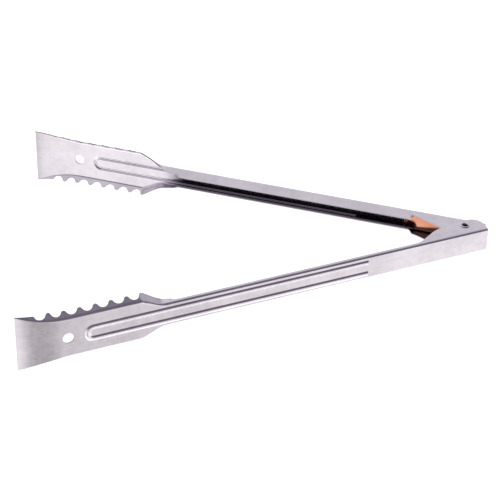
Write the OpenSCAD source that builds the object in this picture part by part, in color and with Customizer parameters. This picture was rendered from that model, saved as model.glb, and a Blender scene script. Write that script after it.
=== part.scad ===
// Spring loaded kitchen tongs: two pressed sheet arms on one tubular rivet, held open by a leaf spring.
// All sizes are in millimetres. The frame's origin is the middle of the rivet, +Z runs along the rivet,
// and the jaws point to -X. An arm is drawn along its own X, with Y outwards through its web, then
// turned into place. The two arms mirror each other about the XZ plane.

/* [Opening] */
// angle of each arm from the middle plane when the tongs rest open, in degrees
half_opening = 21; // [10:0.5:30]

/* [Arm] */
// thickness of the sheet the arms are pressed from
sheet = 0.8; // [0.6:0.1:1.2]
// distance from the rivet's axis to the outer face of the web
web_offset = 9.2; // [8:0.1:12]
// half of the outer arm's height
outer_half_height = 8.2; // [6:0.1:10]
// gap between an outer ear and the inner ear beside it
ear_gap = 0.1; // [0.1:0.05:0.5]
// outer radius of the bend between web and flange
bend_radius = 1.8; // [1:0.1:3]
// how far the grip's flanges turn in past square, in degrees
flange_turn_in = 37.5; // [0:0.5:45]
// distance from the middle plane to the free edge of a grip flange
flange_edge = 2.1; // [1:0.1:4]
// distance from the rivet's axis to the end of the arm behind it
tail_length = 11.5; // [8:0.5:16]
// distance from the rivet's axis to the end of the flat ears
ear_length = 33.5; // [28:0.5:40]
// length over which an ear turns into a grip flange
ear_step = 3; // [2:0.5:6]

/* [Ridges] */
// distance of each ridge from the middle of the web
ridge_spread = 3.9; // [3:0.1:5]
// radius of the ridge's outer surface
ridge_radius = 1.8; // [1:0.1:2.5]
// height of the ridge above the web
ridge_height = 0.9; // [0.5:0.1:1.5]
// distance from the rivet's axis to the open ends of the ridges
ridge_start = 72.5; // [60:0.5:100]
// distance from the rivet's axis to the middle of the ridge's round end
ridge_end = 249.4; // [200:0.1:255]

/* [Jaw] */
// distance from the rivet's axis to the jaw's tip
tip_distance = 294.2; // [250:0.1:320]
// distance from the rivet's axis to the end of the grip, where the shoulder starts
shoulder_start = 207.5; // [150:0.5:230]
// distance from the rivet's axis to the jaw's full width
shoulder_end = 220.5; // [160:0.5:240]
// half of the jaw plate's width between its bends
jaw_half_width = 13.3; // [10:0.1:16]
// half of the jaw plate's width at the tip
tip_half_width = 18.4; // [14:0.1:22]
// distance from the rivet's axis to the start of the widening
fan_start = 262; // [240:1:280]
// distance from the rivet's axis to the start of the curl
curl_start = 268.5; // [255:0.5:280]
// radius of the curl's outer face
curl_radius = 65; // [40:1:120]
// how far the toothed flange leans outwards from square, in degrees
flare = 32; // [0:1:60]
// depth of the toothed flange at its tooth tips
flange_depth = 5.6; // [3:0.1:9]
// distance from the rivet's axis to the middle of the scallop nearest the tip
first_scallop = 280; // [270:0.5:285]
// distance between scallops
scallop_pitch = 9.5; // [7:0.1:12]
// radius of a scallop
scallop_radius = 3.3; // [2:0.1:4.5]
// number of scallops along one edge
scallop_count = 7; // [3:1:9]
// distance from the rivet's axis to the middle of the hole in the jaw
hole_distance = 264.7; // [250:0.1:275]
// radius of the hole in the jaw
hole_radius = 3.25; // [2:0.1:5]

/* [Rivet] */
// radius of the rivet's shank
rivet_radius = 2.4; // [2:0.05:3]
// radius of the hole through the rivet
rivet_bore_radius = 1.75; // [1:0.05:2]
// radius of the rivet's rolled heads
rivet_head_radius = 2.9; // [2.5:0.05:4]
// height of a rolled head above the outer ear
rivet_head_height = 0.6; // [0.4:0.1:1.5]
// how much the outer ears grip the shank, on the radius
rivet_grip = 0.02; // [0:0.01:0.05]
// running clearance of the shank in the inner ears, on the radius
rivet_clearance = 0.06; // [0.02:0.01:0.1]

/* [Spring] */
// width of the spring strip
spring_width = 11; // [8:0.5:12]
// thickness of the spring strip
spring_thickness = 0.6; // [0.4:0.05:1]
// inside radius of the loop round the rivet
loop_radius = 4.6; // [3:0.1:6]
// gap between a spring leg and the web it presses on
leg_gap = 0.12; // [0.05:0.01:0.3]
// distance from the rivet's axis to where a leg meets the web
leg_contact = 37.5; // [25:0.5:45]
// radius of the turned-in toe at the end of a leg
toe_radius = 2.6; // [1.5:0.1:5]

/* [Hidden] */
round_fn = 96;
web_inner = web_offset - sheet;
bend_middle = web_offset - bend_radius;
inner_half_height = outer_half_height - sheet - ear_gap;
outer_ear_edge = 5;
inner_ear_edge = 2.6;
tail_corner_radius = 7.5;
tail_corner_start = 5.2;
tail_reach = 11.9;
inner_tail_reach = 11.7;
ear_reach = 5.4;
outer_ear_points = [[6.6, -5.2], [14, -4], [21.4, -1.5], [31.5, 4.4]];
inner_ear_reach = 7.3;
inner_flank = 42;
inner_ear_points = [[6, -7.2], [14, -6], [20.5, -2.9], [31.4, 2]];
// Shoulder stations: distance, rise of the bend above the grip's height, lean and depth of the flange.
shoulder_stations = [[214, 2.4, 0, 6.6]];
tip_flange_depth = 0.3;
fan_depth_start = 275;
fan_steps = 6;
curl_steps = 12;
curl_sweep = asin((tip_distance - curl_start) / (curl_radius - sheet));
overlap = 0.05;
loop_steps = 16;
toe_steps = 8;
toe_turn = 62;
root_depth = 0.22;

// Half width of the jaw plate at a distance s from the rivet's axis.
function fan(s) = jaw_half_width + (s > fan_start
    ? (tip_half_width - jaw_half_width) * pow((s - fan_start) / (tip_distance - fan_start), 2) : 0);

// Outer face of the jaw plate, measured from the arm's middle plane.
function face(s) = s <= curl_start ? web_offset
    : web_offset - curl_radius + sqrt(curl_radius * curl_radius - (s - curl_start) * (s - curl_start));

// A point of the curl, at the given radius from the curl's middle.
function curl_point(i, r) = let (turn = curl_sweep * i / curl_steps)
    [curl_start + r * sin(turn), web_offset - curl_radius + r * cos(turn)];

// Depth of the toothed flange.
function depth(s) = s <= fan_depth_start ? flange_depth
    : flange_depth
        + (tip_flange_depth - flange_depth) * (s - fan_depth_start) / (tip_distance - fan_depth_start);

// One station of a flange: outer base, outer edge, inner edge, inner base.
// lean is the angle from square, outwards positive. The base sits just inside the sheet it grows from.
function station(s, n, z, lean, d) = let (b = n - root_depth, h = z - root_depth) [
    [s, b, h],
    [s, n - d * cos(lean), z + d * sin(lean)],
    [s, n - d * cos(lean) - sheet * sin(lean), z + d * sin(lean) - sheet * cos(lean)],
    [s, b - sheet * sin(lean), h - sheet * cos(lean)]];

// A bent strip of sheet through its stations.
module strip(stations) {
    last = 4 * (len(stations) - 1);
    polyhedron(points = [for (q = stations) each q],
        faces = concat([[0, 1, 2, 3]],
            [for (i = [0 : len(stations) - 2], k = [0 : 3]) each [
                [4 * i + k, 4 * i + 4 + (k + 1) % 4, 4 * i + (k + 1) % 4],
                [4 * i + k, 4 * i + 4 + k, 4 * i + 4 + (k + 1) % 4]]],
            [[last + 3, last + 2, last + 1, last]]));
}

// Turns a section drawn in outward and height coordinates into a length along the arm.
module along(from, to) {
    translate([from, 0, 0]) rotate([90, 0, 90]) linear_extrude(height = to - from) children();
}

module both_sides() {
    children();
    mirror([0, 0, 1]) children();
}

// Section of one bend and the flange that follows it, turned through the given angle.
module bend_section(half_height, turn, length) {
    translate([bend_middle, half_height - bend_radius]) {
        intersection() {
            difference() {
                circle(r = bend_radius, $fn = round_fn);
                circle(r = bend_radius - sheet, $fn = round_fn);
            }
            polygon([[0, 0], [3 * bend_radius, 0], [3 * bend_radius, 3 * bend_radius], [0, 3 * bend_radius],
                3 * bend_radius * [-sin(turn), cos(turn)]]);
        }
        rotate(turn) translate([-length, bend_radius - sheet]) square([length + overlap, sheet]);
    }
}

module web_section(half_height) {
    translate([web_inner, -(half_height - bend_radius)]) square([sheet, 2 * (half_height - bend_radius)]);
}

// The length of flange beyond the bend that ends at the wanted distance from the middle plane.
function flange_length(turn) = (bend_middle - bend_radius * sin(turn) - flange_edge) / cos(turn);

// Height of the free edge of a grip flange above the middle of the arm.
function grip_edge_height(half_height) = half_height - bend_radius + bend_radius * cos(flange_turn_in)
    - flange_length(flange_turn_in) * sin(flange_turn_in);

// The open channel that the hand holds.
module grip(half_height, from) {
    along(from, shoulder_start) {
        web_section(half_height);
        bend_section(half_height, flange_turn_in, flange_length(flange_turn_in));
        mirror([0, 1]) bend_section(half_height, flange_turn_in, flange_length(flange_turn_in));
    }
}

// Square channel between the ears.
module tail(half_height) {
    along(-tail_length, ear_length + ear_step + overlap) {
        web_section(half_height);
        bend_section(half_height, 0, overlap);
        mirror([0, 1]) bend_section(half_height, 0, overlap);
    }
}

// A flange station where a grip channel of the given height ends.
function grip_station(s, half_height) = let (drop = half_height - sheet / 2 - grip_edge_height(half_height))
    station(s, web_inner, half_height - sheet / 2,
        -atan2(drop, web_inner - flange_edge), norm([drop, web_inner - flange_edge]));

// A flange's twist from the ear's square edge to the grip's turned-in edge.
module ear_to_grip(half_height, ear_edge) {
    drop = half_height - grip_edge_height(half_height);
    strip([
        station(ear_length - overlap, bend_middle + overlap, half_height, 0, bend_middle - ear_edge),
        station(ear_length + ear_step, bend_middle + overlap, half_height,
            -atan2(drop, bend_middle - flange_edge), norm([drop, bend_middle - flange_edge]))]);
}

// The jaw's plate, flat to the curl and then bent round it, with its hole.
module jaw_plate(half_height) {
    fan_step = (tip_distance - fan_start) / fan_steps;
    outline = concat(
        [[shoulder_start - overlap, half_height - bend_radius], [shoulder_start, half_height - sheet / 2]],
        [for (q = shoulder_stations) [q[0], half_height + q[1]]], [[shoulder_end, jaw_half_width]],
        [for (i = [0 : fan_steps]) [fan_start + i * fan_step, fan(fan_start + i * fan_step)]]);
    difference() {
        intersection() {
            rotate([90, 0, 0]) translate([0, 0, -web_offset]) linear_extrude(height = web_offset)
                polygon(concat(outline,
                    [for (i = [len(outline) - 1 : -1 : 0]) [outline[i][0], -outline[i][1]]]));
            translate([0, 0, -tip_half_width - 1]) linear_extrude(height = 2 * tip_half_width + 2)
                polygon(concat([[shoulder_start - overlap, web_offset]],
                    [for (i = [0 : curl_steps]) curl_point(i, curl_radius)],
                    [for (i = [curl_steps : -1 : 0]) curl_point(i, curl_radius - sheet)],
                    [[shoulder_start - overlap, web_inner]]));
        }
        translate([hole_distance, web_offset, 0]) rotate([90, 0, 0])
            cylinder(h = 4 * sheet, r = hole_radius, center = true, $fn = round_fn);
    }
}

// One toothed edge of a jaw, from the grip's turned-in flange to the tip.
module toothed_edge(half_height) {
    fan_step = (tip_distance - fan_start) / fan_steps;
    difference() {
        strip(concat(
            [grip_station(shoulder_start - overlap, half_height)],
            [for (q = shoulder_stations) station(q[0], web_offset, half_height + q[1], q[2], q[3])],
            [station(shoulder_end, web_offset, jaw_half_width, flare, flange_depth)],
            [for (i = [0 : fan_steps]) let (s = fan_start + i * fan_step)
                station(s, face(s), fan(s), flare, depth(s))]));
        for (i = [0 : scallop_count - 1]) let (s = first_scallop - i * scallop_pitch)
            translate([s, face(s) - depth(s) * cos(flare), fan(s) + depth(s) * sin(flare)])
                rotate([-flare, 0, 0]) cylinder(h = 8 * sheet, r = scallop_radius, center = true, $fn = 48);
    }
}

module jaw(half_height) {
    jaw_plate(half_height);
    both_sides() toothed_edge(half_height);
}

// Two raised ridges joined by a round end, as a solid to add or a groove to take away.
module ridge_path(radius) {
    both_sides() translate([ridge_start, 0, ridge_spread]) rotate([0, 90, 0])
        cylinder(h = ridge_end - ridge_start, r = radius, $fn = round_fn);
    translate([ridge_end, 0, 0]) rotate([-90, -90, 0])
        rotate_extrude(angle = 180, $fn = round_fn)
            translate([ridge_spread, 0]) circle(r = radius, $fn = round_fn);
}

module ridge_groove() {
    translate([0, web_offset + ridge_height - ridge_radius, 0]) ridge_path(ridge_radius - sheet);
}

module ridge_skin() {
    intersection() {
        translate([0, web_offset + ridge_height - ridge_radius, 0]) ridge_path(ridge_radius);
        translate([ridge_start - ridge_radius, web_inner + overlap, -2 * ridge_spread])
            cube([ridge_end - ridge_start + 4 * ridge_radius, 2 * ridge_radius, 4 * ridge_spread]);
    }
}

// Outline of a flat outer ear, in distance along the arm and distance outwards.
module outer_ear_outline() {
    translate([tail_corner_radius - tail_reach, tail_corner_radius - ear_reach])
        circle(r = tail_corner_radius, $fn = round_fn);
    polygon(concat([[-tail_length, bend_middle + overlap], [-tail_reach, tail_corner_start],
        [-tail_reach, tail_corner_radius - ear_reach],
        [tail_corner_radius - tail_reach, tail_corner_radius - ear_reach],
        [tail_corner_radius - tail_reach, -ear_reach]], outer_ear_points,
        [[ear_length, outer_ear_edge], [ear_length, bend_middle + overlap]]));
}

// The inner ear stays clear of the outer arm's web as it turns.
module inner_ear_outline() {
    circle(r = inner_ear_reach, $fn = round_fn);
    polygon(concat([[-tail_length, bend_middle + overlap], [-inner_tail_reach, tail_corner_start],
        [-inner_tail_reach, sheet], inner_ear_reach * [-sin(inner_flank), -cos(inner_flank)], [0, 0],
        [0, -inner_ear_reach]], inner_ear_points,
        [[ear_length, inner_ear_edge], [ear_length, bend_middle + overlap]]));
}

module ears(half_height, hole) {
    both_sides() translate([0, 0, half_height - sheet]) difference() {
        linear_extrude(height = sheet) children();
        translate([0, 0, -sheet]) cylinder(h = 3 * sheet, r = hole, $fn = round_fn);
    }
}

// Removes the sheet under the ridges, then lays the ridges over it.
module ridged() {
    difference() {
        union() {
            children();
            ridge_skin();
        }
        ridge_groove();
    }
}

// One arm, drawn along its own length. Its ears' outline is the child.
module arm(half_height, ear_edge, hole) {
    ridged() union() {
        grip(half_height, ear_length + ear_step);
        tail(half_height);
        jaw(half_height);
        both_sides() ear_to_grip(half_height, ear_edge);
        ears(half_height, hole) children();
    }
}

module outer_arm() {
    color([0.78, 0.78, 0.81]) rotate([0, 0, 180 + half_opening])
        arm(outer_half_height, outer_ear_edge, rivet_radius - rivet_grip) outer_ear_outline();
}

module inner_arm() {
    color([0.74, 0.74, 0.77]) mirror([0, 1, 0]) rotate([0, 0, 180 + half_opening])
        arm(inner_half_height, inner_ear_edge, rivet_radius + rivet_clearance) inner_ear_outline();
}

// A tube whose ends are rolled over the outer ears.
module hinge_rivet() {
    top = outer_half_height + rivet_head_height;
    roll = rivet_head_height / 2;
    color([0.85, 0.85, 0.87]) difference() {
        union() {
            cylinder(h = 2 * outer_half_height + roll, r = rivet_radius, center = true, $fn = round_fn);
            both_sides() translate([0, 0, top - roll]) {
                rotate_extrude($fn = round_fn)
                    translate([rivet_head_radius - roll, 0]) circle(r = roll, $fn = 48);
                translate([0, 0, -roll]) cylinder(h = 2 * roll, r = rivet_head_radius - roll, $fn = round_fn);
            }
        }
        cylinder(h = 3 * top, r = rivet_bore_radius, center = true, $fn = round_fn);
    }
}

// One side of half the spring, drawn along an arm: round the loop, along the leg and round the toe.
// side is 1 for the face towards the web and -1 for the other face.
function spring_side(side) =
    let (mid = loop_radius + spring_thickness / 2, touch = web_inner - leg_gap - spring_thickness / 2,
        reach = norm([leg_contact, touch]), slope = atan2(touch, leg_contact) - asin(mid / reach),
        leg = sqrt(reach * reach - mid * mid), half = side * spring_thickness / 2,
        toe = leg * [cos(slope), sin(slope)] + (mid - toe_radius) * [-sin(slope), cos(slope)],
        start = 180 - half_opening)
    concat([for (i = [0 : loop_steps]) let (a = start + (slope + 90 - start) * i / loop_steps)
            (mid + half) * [cos(a), sin(a)]],
        [for (i = [0 : toe_steps]) let (a = 90 + slope - (toe_turn + slope) * i / toe_steps)
            toe + (toe_radius + half) * [cos(a), sin(a)]]);

// Turns a point drawn along the outer arm into the frame, or its mirror image for the inner arm.
function placed(p, flip) = let (a = 180 + half_opening)
    [p[0] * cos(a) - p[1] * sin(a), flip * (p[0] * sin(a) + p[1] * cos(a))];

// A strip bent round the rivet, with a leg on each web.
module spring() {
    far = spring_side(1);
    near = spring_side(-1);
    last = len(far) - 1;
    color([0.80, 0.50, 0.36]) linear_extrude(height = spring_width, center = true)
        polygon(concat(
            [for (i = [last : -1 : 0]) placed(far[i], 1)], [for (i = [1 : last]) placed(far[i], -1)],
            [for (i = [last : -1 : 0]) placed(near[i], -1)], [for (i = [1 : last]) placed(near[i], 1)]));
}

outer_arm();
inner_arm();
hinge_rivet();
spring();
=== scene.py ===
"""Spring loaded kitchen tongs. Two pressed steel arms, a tubular rivet and a copper leaf spring."""

import math

import bmesh
import bpy
import numpy as np
from mathutils import Matrix, Vector


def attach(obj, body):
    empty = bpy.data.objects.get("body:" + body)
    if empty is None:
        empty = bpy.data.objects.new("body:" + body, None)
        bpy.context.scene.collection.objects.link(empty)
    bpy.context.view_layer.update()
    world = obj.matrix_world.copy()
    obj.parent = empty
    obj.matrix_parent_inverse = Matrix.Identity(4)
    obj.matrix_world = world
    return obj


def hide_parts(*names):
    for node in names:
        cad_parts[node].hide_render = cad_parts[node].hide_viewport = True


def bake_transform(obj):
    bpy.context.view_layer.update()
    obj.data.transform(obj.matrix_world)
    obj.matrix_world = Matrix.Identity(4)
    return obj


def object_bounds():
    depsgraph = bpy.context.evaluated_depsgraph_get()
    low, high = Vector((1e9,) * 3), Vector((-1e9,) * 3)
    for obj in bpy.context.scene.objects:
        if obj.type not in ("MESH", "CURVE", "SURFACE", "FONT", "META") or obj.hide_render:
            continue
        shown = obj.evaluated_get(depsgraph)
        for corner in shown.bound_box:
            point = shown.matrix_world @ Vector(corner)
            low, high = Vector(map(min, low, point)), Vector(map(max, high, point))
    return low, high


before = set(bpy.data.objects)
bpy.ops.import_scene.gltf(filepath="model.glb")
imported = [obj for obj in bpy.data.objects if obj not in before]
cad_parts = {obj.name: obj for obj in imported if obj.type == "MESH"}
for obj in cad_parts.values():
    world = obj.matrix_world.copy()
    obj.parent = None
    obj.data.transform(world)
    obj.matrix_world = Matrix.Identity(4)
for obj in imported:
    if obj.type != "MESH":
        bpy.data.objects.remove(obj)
cad_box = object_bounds()

# Lengths are in millimetres until they reach a mesh. In an arm's own frame, s runs along the arm from the
# rivet's axis, n points outwards through the web, and z runs along the rivet.
MM = 0.001
OPEN = math.radians(21)  # each arm's angle from the middle plane
SHEET = 0.8
RIM = 0.18  # radius on the sheet's cut edges
WEB = 9.2  # outer face of the web from the arm's middle plane
BEND_RADIUS, BEND_MIDDLE = 1.8, 7.4  # outer radius of the web's bends, and their axis along n
TAIL = -11.9  # the sheet's end behind the rivet
EAR_FROM, EAR_TO = -13.0, 37.0  # the reach of the ear outlines' tables
SQUARE, TURN = math.radians(90), math.radians(127.5)  # the whole bend at the ears, and at the grip
GRIP_FLANGE = 5.30  # straight part of a grip flange
SHOULDER, BEND_CHANGE, JAW_START = 191.0, 205.0, 217.8
JAW_BEND, TIP_BEND = 3.0, 0.9  # outer radius of the jaw's bends, and its value at the tip
FLARE, TIP_FLARE, FLARE_FADE = math.radians(54), math.radians(42), 284.0  # whole bend of the toothed flange
FLANGE_DEPTH, TIP_DEPTH, DEPTH_FADE = 5.6, 0.34, 275.0
FAN_START, CURL_START, CURL_RADIUS, TIP = 262.0, 268.5, 65.0, 294.2
JAW_HALF, TIP_HALF = 13.3, 18.4
HOLE, HOLE_RADIUS = 264.7, 3.25
RIDGE_START, RIDGE_END, SPREAD, RIDGE_RADIUS, RIDGE_HEIGHT = 72.5, 249.4, 3.9, 1.8, 0.9
SCALLOP_FIRST, PITCH, SCALLOPS = 280.0, 9.5, 7
NOTCH_RADIUS, TOOTH_RADIUS, NOTCH_DEPTH = 3.6, 1.5, 3.2
RIVET_BORE, RIVET_SHANK, RIVET_LIP, RIVET_REACH, RIVET_TOP = 1.75, 2.38, 0.4, 2.9, 8.8
LOOP_RADIUS, STRIP, STRIP_HALF_WIDTH, STRIP_EDGE = 4.6, 0.6, 5.5, 0.2
LEG_CONTACT, LEG_GAP, TOE_RADIUS, TOE_TURN = 37.5, 0.12, 2.6, 62


def smooth(t):
    t = np.clip(t, 0.0, 1.0)
    return t * t * (3.0 - 2.0 * t)


def ramp(s, start, end):
    """0 before the start, 1 after the end, and eased between them."""
    return smooth((s - start) / (end - start))


def mix(a, b, t):
    return a + (b - a) * t


def eased(s, knots, values, reach):
    """Straight lines through the knots, with their corners rounded over the reach on either side."""
    offsets = np.linspace(-reach, reach, 17)
    just_past = 1.06 * reach
    weights = 1.0 - (offsets / just_past) ** 2
    s = np.asarray(s, float)
    return sum(w * np.interp(s + o, knots, values) for w, o in zip(weights, offsets)) / weights.sum()


# ---------------------------------------------------------------- the arm's sheet


def tooth_line(s):
    """How far the toothed edge is cut back from its tooth tips, as a negative number."""
    centres = SCALLOP_FIRST - PITCH * np.arange(SCALLOPS)
    near = np.abs(np.asarray(s, float)[..., None] - centres).min(-1)
    rise = NOTCH_RADIUS - NOTCH_DEPTH
    split = PITCH / 2 * NOTCH_RADIUS / (NOTCH_RADIUS + TOOTH_RADIUS)
    notch = rise - np.sqrt(np.maximum(NOTCH_RADIUS**2 - near**2, 0))
    away = np.minimum(PITCH / 2 - near, TOOTH_RADIUS)
    tooth = -TOOTH_RADIUS + np.sqrt(np.maximum(TOOTH_RADIUS**2 - np.maximum(away, 0) ** 2, 0))
    return np.where(near < split, notch, tooth)


# Through the shoulder: how far the plate has widened, and how far in and up the flange's free edge is.
WIDENING = ([0, 205.5, 209.0, 215.5, 219.8, 300], [0, 0, 0.16, 0.68, 1, 1])
EDGE_IN = ([192, 199, 209, 213, 217, 219.5], [7.1, 6.9, 4.2, 4.4, 5.3, 5.1])
EDGE_UP = ([192, 198, 205, 217, 219.5], [4.2, 5.8, 8.4, 15.8, 16.7])
EASE, EAR_EASE = 2.0, 1.8  # how far the corners of these tables, and of the ears' outlines, are rounded


class Arm:
    """The sheet of one arm. s runs along the arm, and a runs over the section from the middle of the web."""

    def __init__(self, half_height, ear_s, ear_n, hole, hole_span, twist, growth):
        self.twist, self.growth = twist, growth
        self.web_edge = half_height - BEND_RADIUS
        self.hole = hole
        self.hole_columns = [len(FIXED) - 1 + PLATE + BEND + k for k in hole_span]
        self.ear_s = np.linspace(EAR_FROM, EAR_TO, 2001)
        sharp = np.interp(self.ear_s, ear_s, ear_n)
        rounded = eased(self.ear_s, ear_s, ear_n, EAR_EASE)
        self.ear_n = mix(sharp, rounded, ramp(self.ear_s, -6.5, -3.5))

    def section(self, s):
        """Web edge, bend radius, whole bend and flange length at s."""
        turn = mix(SQUARE, TURN, ramp(s, *self.twist))
        ear_flange = BEND_MIDDLE - np.interp(s, self.ear_s, self.ear_n)
        flange = mix(ear_flange, GRIP_FLANGE, ramp(s, *self.growth))
        # The jaw, where the plate's corner lies outside the bend that rounds it.
        jaw_turn = mix(FLARE, TIP_FLARE, ramp(s, FLARE_FADE, TIP))
        jaw_radius = mix(JAW_BEND, TIP_BEND, ramp(s, FAN_START, TIP))
        corner = jaw_radius * np.tan(jaw_turn / 2)
        fan = np.clip((s - FAN_START) / (TIP - FAN_START), 0, None)
        jaw_edge = mix(JAW_HALF, TIP_HALF, fan**2) - corner
        depth = mix(FLANGE_DEPTH, TIP_DEPTH, np.clip((s - DEPTH_FADE) / (TIP - DEPTH_FADE), 0, None))
        toothed = np.maximum(depth + tooth_line(s) - corner, 0.04)
        # The shoulder, where the flange runs from the bend's tangent to the free edge.
        web_edge = self.web_edge + eased(s, *WIDENING, EASE) * (JAW_HALF - corner - self.web_edge)
        radius = mix(BEND_RADIUS, jaw_radius, ramp(s, BEND_CHANGE, BEND_CHANGE + 12.0))
        past, height = eased(s, *EDGE_IN, EASE), eased(s, *EDGE_UP, EASE) - web_edge
        reach = np.hypot(radius - past, height)
        length = np.sqrt(np.maximum(reach**2 - radius**2, 0.01))
        bent = np.mod(np.arctan2(height, radius - past), 2 * math.pi) - np.arctan2(length, radius)
        into = ramp(s, SHOULDER, SHOULDER + 4.0)
        turn, flange = mix(turn, bent, into), mix(flange, length, into)
        end = ramp(s, JAW_START, JAW_START + 3.0)
        web_edge = mix(web_edge, jaw_edge, end)
        return web_edge, mix(radius, jaw_radius, end), mix(turn, jaw_turn, end), mix(flange, toothed, end)

    def base(self, s, a):
        """The outer face without its ridges, in (s, n, z)."""
        web_edge, radius, turn, _ = self.section(s)
        side, b = np.sign(a), np.abs(a)
        bent = np.clip((b - web_edge) / radius, 0, turn)
        past = np.maximum(b - web_edge - radius * turn, 0)
        depth = -radius * (1 - np.cos(bent)) - past * np.sin(turn)
        height = np.minimum(b, web_edge) + radius * np.sin(bent) + past * np.cos(turn)
        curl = np.arcsin(np.clip((s - CURL_START) / CURL_RADIUS, 0, 1))
        face = WEB - CURL_RADIUS * (1 - np.cos(curl))
        return np.stack([s + depth * np.sin(curl), face + depth * np.cos(curl), side * height], -1)

    def normal(self, s, a):
        e = 0.004
        along = self.base(s + e, a) - self.base(s - e, a)
        across = self.base(s, a + e) - self.base(s, a - e)
        n = np.cross(across, along)
        return n / np.linalg.norm(n, axis=-1, keepdims=True)

    def ridge(self, s, a, radius, sink, soft):
        """Height of the two ridges and the round end that joins them, above the face they rise from."""
        straight = np.abs(np.abs(a) - SPREAD)
        bend = np.abs(np.hypot(np.maximum(s - RIDGE_END, 0), a) - SPREAD)
        d = np.where(s > RIDGE_END, bend, straight)
        c = np.sqrt(np.maximum(radius**2 - d**2, 0)) - sink
        h = 0.5 * (c + np.sqrt(c * c + soft * soft)) - 0.5 * (np.sqrt(sink**2 + soft**2) - sink)
        return h * ramp(s, RIDGE_START - 0.12, RIDGE_START + 0.12)

    def faces(self, s, a):
        """Outer point, inner point and outward normal."""
        p, n = self.base(s, a), self.normal(s, a)
        sink = RIDGE_RADIUS - RIDGE_HEIGHT
        out = self.ridge(s, a, RIDGE_RADIUS, sink, 0.16)
        inn = self.ridge(s, a, RIDGE_RADIUS - SHEET, sink - SHEET, 0.1)
        return p + n * out[..., None], p + n * (inn - SHEET)[..., None], n


def stations():
    """Distances along the arm where the sheet has a row of points."""
    ear = [TAIL + RIM, -11.65, -11.5, -11.25, -10.9, -10.4, -9.8, -9.1, -8.3, -7.4, -6.5, -5.6]
    ear += list(np.arange(-4.9, 31.0, 0.85)) + list(np.arange(31.0, 39.8, 0.4))
    ridge_ends = [71.5, 72.1, 72.32, 72.4, 72.46, 72.5, 72.54, 72.6, 72.68, 72.9, 73.6]
    grip = list(np.arange(42, 71, 5.0)) + ridge_ends + list(np.arange(76, 188, 6.0))
    grip += list(np.arange(188.0, 218.4, 0.9))
    half = [0.0, 0.6, 1.2, 1.75, 2.25, 2.65, 2.95, 3.18, 3.34, 3.5, 3.7, 3.95, 4.25, 4.5, 4.75]
    jaw = []
    for i in range(SCALLOPS):
        c = SCALLOP_FIRST - PITCH * i
        jaw += [c - h for h in half] + [c + h for h in half[:-1]]
    tip = [284.75, 285.6, 286.6, 287.7, 288.8, 290.0, 291.2, 292.3, 293.2, 293.7, TIP - RIM]
    rows = np.unique(np.round(np.array(ear + grip + jaw + tip), 4))
    return rows[np.concatenate([[True], np.diff(rows) > 0.015])]


# Columns over half a section: fixed ones round a ridge, then shares of the plate, the bend and the flange.
FIXED = [0, 0.8, 1.5, 1.85, 2.05, 2.2, 2.35, 2.52, 2.75, 3.05]
FIXED += [3.45, 3.9, 4.35, 4.75, 5.05, 5.28, 5.45, 5.6, 5.75, 5.95]
PLATE, BEND, FLANGE = 6, 11, 16
# At the tail the outline is cut back by this much at these places along n, where ear turns into web.
TAIL_CUT = ([4.6, 5.4, 6.2, 7.4], [0, 0.03, 0.13, 0.3])
# Half the blocks of quads that make room for a hole: lengths in s, and columns from the middle of the web.
HOLE_BLOCK, HOLE_COLUMNS, EAR_BLOCK = 5.4, 14, 4.4


def arm_points(arm):
    """Grids of s and a, one row for each station."""
    rows = stations()
    s_grid, a_grid = [], []
    for s in rows:
        web_edge, radius, turn, flange = (float(v) for v in arm.section(np.array(s)))
        plate_end = max(web_edge, FIXED[-1] + 0.3)
        bend_end = web_edge + radius * turn
        half = list(FIXED)
        half += list(np.linspace(FIXED[-1], plate_end, PLATE + 1)[1:])
        half += list(np.linspace(plate_end, bend_end, BEND + 1)[1:])
        half += list(np.linspace(bend_end, bend_end + max(flange - RIM, 0.03), FLANGE + 1)[1:])
        half = np.array(half)
        across = np.concatenate([-half[:0:-1], half])
        n = BEND_MIDDLE - np.maximum(np.abs(across) - bend_end, 0)
        cut_back = np.interp(n, *TAIL_CUT) * (1 - ramp(s, TAIL, TAIL + 9.0))
        s_grid.append(s + cut_back)
        a_grid.append(across)
    return rows, np.array(s_grid), np.array(a_grid)


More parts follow.
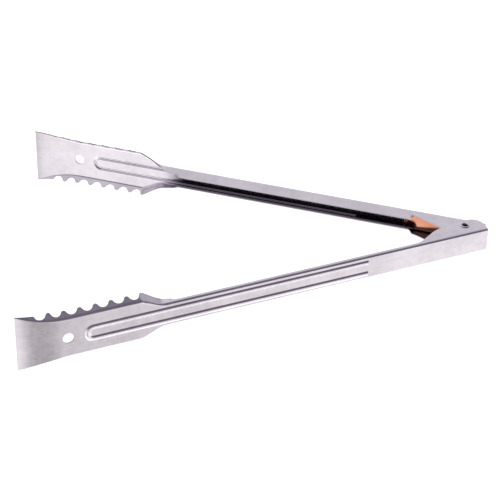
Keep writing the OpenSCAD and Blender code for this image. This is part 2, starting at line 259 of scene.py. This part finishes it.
class Sheet:
    """Points and quads over the (s, a) plane, later given a thickness and rounded edges."""

    def __init__(self, s, a):
        self.rows, self.cols = s.shape
        self.s, self.a = list(s.ravel()), list(a.ravel())
        self.gone = np.zeros((self.rows - 1, self.cols - 1), bool)
        self.extra, self.loops = [], []

    def at(self, i, j):
        return i * self.cols + j

    def cut(self, i0, i1, j0, j1, centre, radius, rings=5):
        """Replaces a block of quads with rings round a hole."""
        self.gone[i0:i1, j0:j1] = True
        edge = [self.at(i0, j) for j in range(j1, j0, -1)] + [self.at(i, j0) for i in range(i0, i1)]
        edge += [self.at(i1, j) for j in range(j0, j1)] + [self.at(i, j1) for i in range(i1, i0, -1)]
        last = edge
        for k in range(1, rings + 1):
            t = 1 - (1 - k / rings) ** 1.3
            ring = []
            for v in edge:
                ds, da = self.s[v] - centre[0], self.a[v] - centre[1]
                r = math.hypot(ds, da)
                w = mix(1.0, (radius + RIM) / r, t)
                self.s.append(centre[0] + ds * w)
                self.a.append(centre[1] + da * w)
                ring.append(len(self.s) - 1)
            n = len(edge)
            self.extra += [(last[(q + 1) % n], last[q], ring[q], ring[(q + 1) % n]) for q in range(n)]
            last = ring
        self.loops.append(last)

    def quads(self):
        """The quads that are left, and the loops round their outline and holes."""
        found = [
            (self.at(i, j), self.at(i, j + 1), self.at(i + 1, j + 1), self.at(i + 1, j))
            for i in range(self.rows - 1)
            for j in range(self.cols - 1)
            if not self.gone[i, j]
        ]
        outer = [self.at(0, j) for j in range(self.cols - 1)]
        outer += [self.at(i, self.cols - 1) for i in range(self.rows - 1)]
        outer += [self.at(self.rows - 1, j) for j in range(self.cols - 1, 0, -1)]
        outer += [self.at(i, 0) for i in range(self.rows - 1, 0, -1)]
        return found + self.extra, [outer] + self.loops


def object_from(name, points, faces, attributes=None):
    """A smooth shaded object with point attributes, its normals facing outwards."""
    mesh = bpy.data.meshes.new(name)
    mesh.from_pydata([tuple(p) for p in points], [], faces)
    for key, values in (attributes or {}).items():
        values = np.asarray(values, np.float32)
        kind = "FLOAT_VECTOR" if values.ndim == 2 else "FLOAT"
        item = mesh.attributes.new(key, kind, "POINT")
        item.data.foreach_set("vector" if values.ndim == 2 else "value", values.ravel())
    mesh.polygons.foreach_set("use_smooth", [True] * len(mesh.polygons))
    tidy = bmesh.new()
    tidy.from_mesh(mesh)
    bmesh.ops.recalc_face_normals(tidy, faces=tidy.faces)
    tidy.to_mesh(mesh)
    tidy.free()
    mesh.update()
    obj = bpy.data.objects.new(name, mesh)
    bpy.context.scene.collection.objects.link(obj)
    return obj


def build_arm(name, arm, flip, material):
    """One arm: outer and inner face, joined by rounded rims round the outline and the holes."""
    rows, s_grid, a_grid = arm_points(arm)
    sheet = Sheet(s_grid, a_grid)
    middle = sheet.cols // 2

    def row(s):
        return int(np.abs(rows - s).argmin())

    block = row(HOLE - HOLE_BLOCK), row(HOLE + HOLE_BLOCK), middle - HOLE_COLUMNS, middle + HOLE_COLUMNS
    sheet.cut(*block, (HOLE, 0.0), HOLE_RADIUS)
    bend_end = arm.web_edge + BEND_RADIUS * SQUARE
    for side in (-1, 1):
        block = row(-EAR_BLOCK), row(EAR_BLOCK), *sorted(middle + side * k for k in arm.hole_columns)
        sheet.cut(*block, (0.0, side * (bend_end + BEND_MIDDLE)), arm.hole, rings=4)
    faces, loops = sheet.quads()
    s, a = np.array(sheet.s), np.array(sheet.a)
    out, inn, normal = arm.faces(s, a)
    count = len(s)
    points = [out, inn]
    # Materials read the flat sheet's s and a, and 0 on the outer face, 0.5 on the rim, 1 on the inner face.
    flat = np.stack([s, a, np.zeros(count)], -1)
    where = [flat, flat + [0, 0, 1.0]]
    web_edge, radius, turn, flange = arm.section(s)
    to_side = web_edge + radius * turn + flange - np.abs(a)
    to_end = np.minimum(TIP - s, s - TAIL)
    edge = np.clip(np.minimum(to_side, to_end), 0, 5)
    edge = np.minimum(edge, np.abs(np.hypot(s - HOLE, a) - HOLE_RADIUS))
    edges = [edge, edge]
    solid = list(faces) + [tuple(v + count for v in f[::-1]) for f in faces]
    total = 2 * count
    angles = np.radians([30, 60, 90])
    for loop in loops:
        loop = np.array(loop)
        n = len(loop)
        tangent = np.roll(out[loop], -1, 0) - np.roll(out[loop], 1, 0)
        away = np.cross(tangent, normal[loop])
        away /= np.linalg.norm(away, axis=1, keepdims=True)
        rings = [loop]
        for start, sign, order in ((out, -1, angles), (inn, 1, angles[::-1])):
            for angle in order:
                ring = start[loop] + away * RIM * math.sin(angle)
                ring = ring + sign * normal[loop] * RIM * (1 - math.cos(angle))
                points.append(ring)
                where.append(flat[loop] + [0, 0.3, 0.5])
                edges.append(np.zeros(n))
                rings.append(np.arange(total, total + n))
                total += n
        rings.append(loop + count)
        for r0, r1 in zip(rings, rings[1:]):
            for q in range(n):
                p = (q + 1) % n
                solid.append((int(r0[p]), int(r0[q]), int(r1[q]), int(r1[p])))
    points, where = np.concatenate(points), np.concatenate(where)
    x = -points[:, 0] * math.cos(OPEN) + points[:, 1] * math.sin(OPEN)
    y = -points[:, 0] * math.sin(OPEN) - points[:, 1] * math.cos(OPEN)
    z = points[:, 2]
    if flip:
        y = -y
        solid = [f[::-1] for f in solid]
    attributes = {"sheet": where * MM, "edge": np.concatenate(edges) * MM}
    obj = object_from(name, np.stack([x, y, z], -1) * MM, solid, attributes)
    obj.data.materials.append(material)
    return obj


# ---------------------------------------------------------------- rivet and spring


def lathe(name, profile, steps=72):
    """A closed ring section, in radius and height, turned round Z. Its grain runs in rings."""
    points, faces, n = [], [], len(profile)
    top = max(z for _, z in profile)
    lengths = np.cumsum([math.dist(profile[q - 1], profile[q]) for q in range(n)])
    where = [(0, length * MM, 0) for length in lengths] * steps
    edge = [(top - abs(z)) * MM for _, z in profile] * steps
    for k in range(steps):
        c, s = math.cos(2 * math.pi * k / steps), math.sin(2 * math.pi * k / steps)
        points += [(r * c * MM, r * s * MM, z * MM) for r, z in profile]
    for k in range(steps):
        for q in range(n):
            p, m = (q + 1) % n, (k + 1) % steps
            faces.append((k * n + q, k * n + p, m * n + p, m * n + q))
    return object_from(name, points, faces, {"sheet": where, "edge": edge})


def rivet_profile():
    """Bore, rolled lip, shank and lip again."""
    bore, shank = RIVET_BORE, RIVET_SHANK
    middle = (RIVET_REACH - RIVET_LIP, RIVET_TOP - RIVET_LIP)
    upper = [(bore, 0.0), (bore, 3.5), (bore, 6.9)]
    upper += [(bore + 0.02, 7.9), (bore + 0.05, 8.25)]
    for deg in range(165, -31, -15):
        t = math.radians(deg)
        stretch = 1.0 if deg < 90 else 1.35
        across = middle[0] + RIVET_LIP * math.cos(t) * stretch
        upper.append((across, middle[1] + RIVET_LIP * math.sin(t)))
    upper += [(2.62, 8.22), (shank, 8.16), (shank, 7.4), (shank, 3.5), (shank, 0.0)]
    lower = [(r, -z) for r, z in upper[::-1]]
    return upper[:-1] + [(shank, 0.0)] + lower[1:-1]


def spring_line():
    """Middle line of half the strip, from the loop's back to the toe's end, with its normal, in s and n."""
    mid = LOOP_RADIUS + STRIP / 2
    touch = WEB - SHEET - LEG_GAP - STRIP / 2
    reach = math.hypot(LEG_CONTACT, touch)
    slope = math.atan2(touch, LEG_CONTACT) - math.asin(mid / reach)
    leg = math.sqrt(reach * reach - mid * mid)
    offset = mid - TOE_RADIUS
    toe_s = leg * math.cos(slope) - offset * math.sin(slope)
    toe_n = leg * math.sin(slope) + offset * math.cos(slope)
    line = []
    start, end = math.pi - OPEN, math.pi / 2 + slope
    for k in range(33):
        t = mix(start, end, k / 32)
        line.append((mid * math.cos(t), mid * math.sin(t), math.cos(t), math.sin(t)))
    first = (mid * math.cos(end), mid * math.sin(end))
    last = (toe_s + TOE_RADIUS * math.cos(end), toe_n + TOE_RADIUS * math.sin(end))
    for k in range(1, 24):
        t = k / 24
        line.append((mix(first[0], last[0], t), mix(first[1], last[1], t), math.cos(end), math.sin(end)))
    stop = math.radians(90 - TOE_TURN)
    for k in range(25):
        t = mix(end, stop, k / 24)
        c, d = math.cos(t), math.sin(t)
        line.append((toe_s + TOE_RADIUS * c, toe_n + TOE_RADIUS * d, c, d))
    return line


def build_spring(material):
    """The strip, swept along its bent line with rounded edges."""
    half = spring_line()
    c, s = math.cos(OPEN), math.sin(OPEN)

    def turned(p, q, flip):
        return (-p * c + q * s, flip * (-p * s - q * c))

    line = []
    for p, q, u, v in half[::-1]:
        line.append(turned(p, q, 1) + turned(u, v, 1))
    for p, q, u, v in half[1:]:
        line.append(turned(p, q, -1) + turned(u, v, -1))
    wide, high = STRIP_HALF_WIDTH - STRIP_EDGE, STRIP / 2 - STRIP_EDGE
    section = []
    for cx, cy, start in ((wide, high, 0), (-wide, high, 90), (-wide, -high, 180), (wide, -high, 270)):
        for k in range(4):
            t = math.radians(start + 30 * k)
            section.append((cx + STRIP_EDGE * math.cos(t), cy + STRIP_EDGE * math.sin(t)))
        if start in (0, 180):
            side = 1 if start == 0 else -1
            section += [(side * w, side * STRIP / 2) for w in (4.0, 2.4, 0.8, -0.8, -2.4, -4.0)]
    n, points, where, edge = len(section), [], [], []
    steps = [math.dist(line[i][:2], line[i + 1][:2]) for i in range(len(line) - 1)]
    lengths = np.concatenate([[0], np.cumsum(steps)])
    corner, narrowing = 1.6, 0.30
    for i, (x, y, nx, ny) in enumerate(line):
        ends = min(lengths[i], lengths[-1] - lengths[i])
        to_corner = 1 - min(ends / corner, 1)
        round_off = 1.0 - narrowing * (1 - math.sqrt(max(0.0, 1 - to_corner**2)))
        for z, t in section:
            points.append(((x + nx * t) * MM, (y + ny * t) * MM, z * round_off * MM))
            where.append((lengths[i] * MM, z * MM, t * MM))
            edge.append(min(STRIP_HALF_WIDTH - abs(z), ends) * MM)
    faces = []
    for i in range(len(line) - 1):
        for q in range(n):
            p = (q + 1) % n
            faces.append((i * n + q, i * n + p, (i + 1) * n + p, (i + 1) * n + q))
    faces += [tuple(range(n))[::-1], tuple((len(line) - 1) * n + q for q in range(n))]
    obj = object_from("leaf_spring", points, faces, {"sheet": where, "edge": edge})
    obj.data.materials.append(material)
    return obj


# ---------------------------------------------------------------- materials


class Nodes:
    """Short names for building a node tree."""

    def __init__(self, name):
        self.material = bpy.data.materials.new(name)
        self.material.use_nodes = True
        self.tree = self.material.node_tree
        self.shader = self.tree.nodes["Principled BSDF"]

    def add(self, kind, inputs=None, **settings):
        node = self.tree.nodes.new(kind)
        for key, value in settings.items():
            setattr(node, key, value)
        for key, value in (inputs or {}).items():
            if isinstance(value, bpy.types.NodeSocket):
                self.tree.links.new(value, node.inputs[key])
            else:
                node.inputs[key].default_value = value
        return node

    def link(self, a, b):
        self.tree.links.new(a, b)

    def noise(self, vector, scale, detail=2.0, rough=0.5):
        inputs = {"Vector": vector, "Scale": scale, "Detail": detail, "Roughness": rough}
        return self.add("ShaderNodeTexNoise", inputs).outputs["Fac"]

    def stretched(self, vector, scale, turn=0.0):
        inputs = {"Vector": vector, "Scale": scale, "Rotation": (0, 0, turn)}
        return self.add("ShaderNodeMapping", inputs).outputs["Vector"]

    def span(self, value, low, high, to_low, to_high):
        """An eased step from one value to another while the input goes from low to high."""
        inputs = {"Value": value, "From Min": low, "From Max": high, "To Min": to_low, "To Max": to_high}
        return self.add("ShaderNodeMapRange", inputs, interpolation_type="SMOOTHSTEP").outputs["Result"]

    def blend(self, factor, a, b, mode="MIX"):
        """Mix of two colours, each a value or a socket."""
        node = self.add("ShaderNodeMix", data_type="RGBA", blend_type=mode, clamp_factor=True)
        for socket, value in ((node.inputs[0], factor), (node.inputs[6], a), (node.inputs[7], b)):
            if isinstance(value, bpy.types.NodeSocket):
                self.link(value, socket)
            else:
                socket.default_value = value
        return node.outputs[2]

    def sum(self, a, b, weight):
        return self.add("ShaderNodeMath", {0: b, 1: weight, 2: a}, operation="MULTIPLY_ADD").outputs[0]

    def product(self, a, b):
        return self.add("ShaderNodeMath", {0: a, 1: b}, operation="MULTIPLY").outputs[0]


LONG_GRAIN, LONG_BANDS, SLANTED = (70, 5200, 40), (25, 900, 40), (160, 2600, 40)  # noise per metre
# Painted shade: multiplied into the steel's base colour on the inner face of the grip's channel.
CHANNEL_SHADE_TINT = (0.40, 0.38, 0.42, 1)


def metal(name, dark, light, worn, roughness, grain, bump, shade_channel=False):
    """Rolled and brushed sheet: long fine grain, slow mottling, small marks and worn cut edges, and, if
    asked, painted shade on the inner face of the grip's channel.
    """
    m = Nodes(name)
    place = m.add("ShaderNodeAttribute", attribute_name="sheet", attribute_type="GEOMETRY").outputs["Vector"]
    near = m.add("ShaderNodeAttribute", attribute_name="edge", attribute_type="GEOMETRY").outputs["Fac"]
    fine = m.noise(m.stretched(place, LONG_GRAIN), 1.0, 3.0, 0.6)
    broad = m.noise(m.stretched(place, LONG_BANDS), 1.0, 2.0, 0.5)
    mottle = m.noise(m.stretched(place, (1, 1, 1)), 260.0, 4.0, 0.55)
    cloud = m.noise(place, 34.0, 3.0, 0.5)
    pits = m.noise(place, 2600.0, 2.0, 0.6)
    scratch = m.noise(m.stretched(place, SLANTED, 0.5), 1.0, 1.0, 0.4)
    tone = m.sum(m.span(cloud, 0.35, 0.65, 0.0, 0.5), m.span(mottle, 0.3, 0.7, 0.0, 1.0), 0.35)
    tone = m.sum(tone, m.span(broad, 0.3, 0.7, 0.0, 1.0), 0.18)
    colour = m.blend(tone, dark, light)
    wear = m.span(near, 0.00012, 0.0009, 1.0, 0.0)
    worn_here = m.product(wear, m.span(mottle, 0.25, 0.6, 0.35, 1.0))
    colour = m.blend(worn_here, colour, worn)
    # Painted shade: the base colour is darkened on the inner face of the grip's channel, where the recess
    # lies in shade. The steel itself is the same there.
    if shade_channel:
        parts = m.add("ShaderNodeSeparateXYZ", {0: place}).outputs
        inside = m.span(parts["Z"], 0.0004, 0.0006, 0.0, 1.0)
        channel_shade = m.product(inside, m.span(parts["X"], 0.192, 0.206, 1.0, 0.0))
        colour = m.blend(channel_shade, colour, m.blend(1.0, colour, CHANNEL_SHADE_TINT, "MULTIPLY"))
    m.link(colour, m.shader.inputs["Base Color"])
    rough = m.span(fine, 0.25, 0.75, roughness - grain, roughness + grain)
    rough = m.sum(rough, m.span(mottle, 0.3, 0.7, -1.0, 1.0), grain * 0.6)
    rough = m.sum(rough, m.span(scratch, 0.66, 0.78, 0.0, 1.0), grain)
    rough = m.sum(rough, worn_here, -0.06)
    m.link(rough, m.shader.inputs["Roughness"])
    height = m.sum(m.span(fine, 0.2, 0.8, 0.0, 1.0), m.span(scratch, 0.66, 0.8, 0.0, -1.0), 0.8)
    height = m.sum(height, pits, 0.15)
    height = m.sum(height, m.span(mottle, 0.2, 0.8, 0.0, 1.0), 1.2)
    bumped = m.add("ShaderNodeBump", {"Height": height, "Strength": 1.0, "Distance": bump})
    m.link(bumped.outputs["Normal"], m.shader.inputs["Normal"])
    m.shader.inputs["Metallic"].default_value = 1.0
    m.material.diffuse_color = (*light[:3], 1)
    return m.material


steel = metal(
    "brushed_steel",
    dark=(0.46, 0.43, 0.475, 1),
    light=(0.575, 0.54, 0.595, 1),
    worn=(0.46, 0.43, 0.47, 1),
    roughness=0.20,
    grain=0.035,
    bump=0.0000018,
    # Painted shade inside the grip's channel.
    shade_channel=True,
)
rivet_steel = metal(
    "rivet_steel",
    dark=(0.44, 0.42, 0.45, 1),
    light=(0.56, 0.54, 0.58, 1),
    worn=(0.5, 0.47, 0.515, 1),
    roughness=0.24,
    grain=0.04,
    bump=0.000002,
)
copper = metal(
    "spring_copper",
    dark=(0.41, 0.165, 0.105, 1),
    light=(0.55, 0.245, 0.16, 1),
    worn=(0.64, 0.33, 0.22, 1),
    roughness=0.16,
    grain=0.03,
    bump=0.0000025,
)

# ---------------------------------------------------------------- the pieces

# Outlines of the ears: distance along the arm, and the free edge's place along n. The outer ear has a round
# back corner, and the inner ear is round about the rivet.
OUTER_CORNER, OUTER_CORNER_N, INNER_CORNER = 7.5, 2.1, 7.3
corner_s = TAIL + OUTER_CORNER * np.linspace(0, 1, 21) ** 2
corner_rise = np.sqrt(np.maximum(OUTER_CORNER**2 - (corner_s - TAIL - OUTER_CORNER) ** 2, 0))
corner_n = OUTER_CORNER_N - corner_rise
outer_s = np.concatenate([corner_s, [6.6, 14, 21.4, 31.5, 35.5, 37]])
outer_n = np.concatenate([corner_n, [-5.2, -4.0, -1.5, 4.4, 6.3, 6.6]])
round_s = np.linspace(-4.885, 0, 8)
inner_s = np.concatenate([[-13, -11.7, -11.3, -10.7], round_s, [6, 14, 20.5, 31.4, 33.5, 37]])
round_n = -np.sqrt(INNER_CORNER**2 - round_s**2)
inner_n = np.concatenate([[1.0, 1.0, 0.2, -0.5], round_n, [-7.2, -6.0, -2.9, 2.0, 2.6, 2.6]])

outer_sheet = Arm(
    half_height=8.2,
    ear_s=outer_s,
    ear_n=outer_n,
    hole=RIVET_SHANK,
    hole_span=(5, 15),
    twist=(32.0, 36.0),
    growth=(35.0, 39.0),
)
inner_sheet = Arm(
    half_height=7.3,
    ear_s=inner_s,
    ear_n=inner_n,
    hole=RIVET_SHANK + 0.08,
    hole_span=(4, 13),
    twist=(33.5, 36.5),
    growth=(33.5, 36.5),
)
outer_arm = build_arm("outer_arm_sheet", outer_sheet, False, steel)
inner_arm = build_arm("inner_arm_sheet", inner_sheet, True, steel)
rivet = lathe("tube_rivet", rivet_profile())
rivet.data.materials.append(rivet_steel)
spring = build_spring(copper)

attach(outer_arm, "outer")
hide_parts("outer_arm")
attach(inner_arm, "inner")
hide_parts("inner_arm")
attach(rivet, "outer")
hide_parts("hinge_rivet")
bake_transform(spring)
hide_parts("spring")

# ---------------------------------------------------------------- floor, light and camera

FLOOR_GAP, FLOOR_HALF = 0.0004, 6
floor_z = cad_box[0][2] - FLOOR_GAP
floor_corners = [(-1, -1), (1, -1), (1, 1), (-1, 1)]
floor_points = [(x * FLOOR_HALF, y * FLOOR_HALF, floor_z) for x, y in floor_corners]
floor = object_from("floor", floor_points, [(0, 1, 2, 3)])
pale = Nodes("pale_floor")
pale.shader.inputs["Base Color"].default_value = (0.30, 0.30, 0.30, 1)
pale.shader.inputs["Roughness"].default_value = 0.9
pale.shader.inputs["Specular IOR Level"].default_value = 0.0
pale.shader.inputs["Emission Color"].default_value = (1, 1, 1, 1)
patches = pale.noise(pale.add("ShaderNodeNewGeometry").outputs["Position"], 9.0, 3.0)
pale.link(pale.span(patches, 0.3, 0.7, 0.98, 1.06), pale.shader.inputs["Emission Strength"])
floor.data.materials.append(pale.material)
floor.visible_glossy = False


def backdrop_points(radius, rings=24, steps=48):
    """A ball of quads round the whole scene."""
    points, faces = [], []
    for i in range(rings + 1):
        lift = math.pi * (i / rings - 0.5)
        across, z = radius * math.cos(lift), radius * math.sin(lift)
        for k in range(steps):
            turn = 2 * math.pi * k / steps
            points.append((across * math.cos(turn), across * math.sin(turn), z))
    for i in range(rings):
        for k in range(steps):
            m = (k + 1) % steps
            faces.append((i * steps + k, (i + 1) * steps + k, (i + 1) * steps + m, i * steps + m))
    return points, faces


backdrop = object_from("backdrop", *backdrop_points(9.0))
white = Nodes("white_backdrop")
white.shader.inputs["Base Color"].default_value = (0.0, 0.0, 0.0, 1)
white.shader.inputs["Specular IOR Level"].default_value = 0.0
white.shader.inputs["Emission Color"].default_value = (1, 1, 1, 1)
white.shader.inputs["Emission Strength"].default_value = 1.05
backdrop.data.materials.append(white.material)
for ray in ("glossy", "diffuse", "shadow", "transmission"):
    setattr(backdrop, "visible_" + ray, False)

LIGHT_PLACE, LIGHT_TARGET = Vector((-1.2, 1.9, 1.9)), Vector((-0.13, 0.0, 0.0))
light_data = bpy.data.lights.new("back_light", "AREA")
light_data.shape = "RECTANGLE"
light_data.size, light_data.size_y = 1.6, 0.9
light_data.energy = 0.8
light = bpy.data.objects.new("back_light", light_data)
light.location = LIGHT_PLACE
light.rotation_euler = (LIGHT_TARGET - LIGHT_PLACE).to_track_quat("-Z", "Y").to_euler()
bpy.context.scene.collection.objects.link(light)

world = bpy.data.worlds.new("studio")
world.use_nodes = True
bpy.context.scene.world = world


class Sky(Nodes):
    """Nodes for the world, which have no material."""

    def __init__(self, tree):
        self.tree = tree

    def dot(self, vector, direction):
        node = self.add("ShaderNodeVectorMath", {0: vector, 1: direction}, operation="DOT_PRODUCT")
        return node.outputs["Value"]

    def between(self, factor, low, high):
        """Mix of two values, each a number or a socket."""
        node = self.add("ShaderNodeMix", data_type="FLOAT", clamp_factor=True)
        for socket, value in ((node.inputs[0], factor), (node.inputs[2], low), (node.inputs[3], high)):
            if isinstance(value, bpy.types.NodeSocket):
                self.link(value, socket)
            else:
                socket.default_value = value
        return node.outputs[0]


# The studio seen in the metal. Above it is dim, with a tall soft light behind on the left, a smaller one on
# the right and a dark patch in front. Below it is a pale table, brighter to both sides and right under.
TALL_LIGHT, SIDE_LIGHT, DARK_PATCH = (-0.609, 0.609, 0.508), (0.78, 0.27, 0.56), (0.56, -0.61, 0.56)
DIM_TINT, LIGHT_TINT, TABLE_TINT = (1.0, 0.91, 1.10, 1), (1.0, 0.99, 1.02, 1), (1.02, 1.01, 0.985, 1)
sky = Sky(world.node_tree)
facing = sky.add("ShaderNodeTexCoord").outputs["Generated"]
side = sky.dot(facing, (1.0, 0.0, 0.0))
rise = sky.dot(facing, (0.0, 0.0, 1.0))
lit = sky.span(sky.dot(facing, TALL_LIGHT), 0.12, 0.46, 0.0, 1.0)
above = sky.between(lit, 0.29, 1.06)
side_lit = sky.span(sky.dot(facing, SIDE_LIGHT), 0.80, 0.97, 0.0, 1.0)
above = sky.between(side_lit, above, 0.75)
above = sky.between(sky.span(sky.dot(facing, DARK_PATCH), 0.80, 0.97, 0.0, 1.0), above, 0.24)
below = sky.between(sky.span(side, -0.15, 0.12, 1.0, 0.0), 0.74, 1.62)
below = sky.between(sky.span(side, 0.30, 0.80, 0.0, 1.0), below, 1.70)
below = sky.between(sky.span(rise, -0.92, -0.64, 1.0, 0.0), below, 2.5)
low = sky.span(rise, -0.20, 0.22, 1.0, 0.0)
tint = sky.blend(sky.sum(lit, side_lit, 0.7), DIM_TINT, LIGHT_TINT)
background = world.node_tree.nodes["Background"]
sky.link(sky.between(low, above, below), background.inputs["Strength"])
sky.link(sky.blend(low, tint, TABLE_TINT), background.inputs["Color"])

# A long lens, about a metre from the near side of the tongs and a little above them.
CAMERA_PLACE, CAMERA_TARGET = Vector((-0.19136, -0.89575, 0.56648)), Vector((-0.13542, -0.01262, 0.0))
CAMERA_ROLL, FOCAL_LENGTH = math.radians(1.232), 122.306
camera_data = bpy.data.cameras.new("camera")
camera_data.sensor_width = 36
camera_data.sensor_fit = "HORIZONTAL"
camera_data.lens = FOCAL_LENGTH
camera_data.clip_start = 0.01
camera = bpy.data.objects.new("camera", camera_data)
aim = (CAMERA_TARGET - CAMERA_PLACE).to_track_quat("-Z", "Y").to_matrix().to_4x4()
camera.matrix_world = Matrix.Translation(CAMERA_PLACE) @ aim @ Matrix.Rotation(CAMERA_ROLL, 4, "Z")
bpy.context.scene.collection.objects.link(camera)
bpy.context.scene.camera = camera
bpy.context.scene.view_settings.view_transform = "Standard"
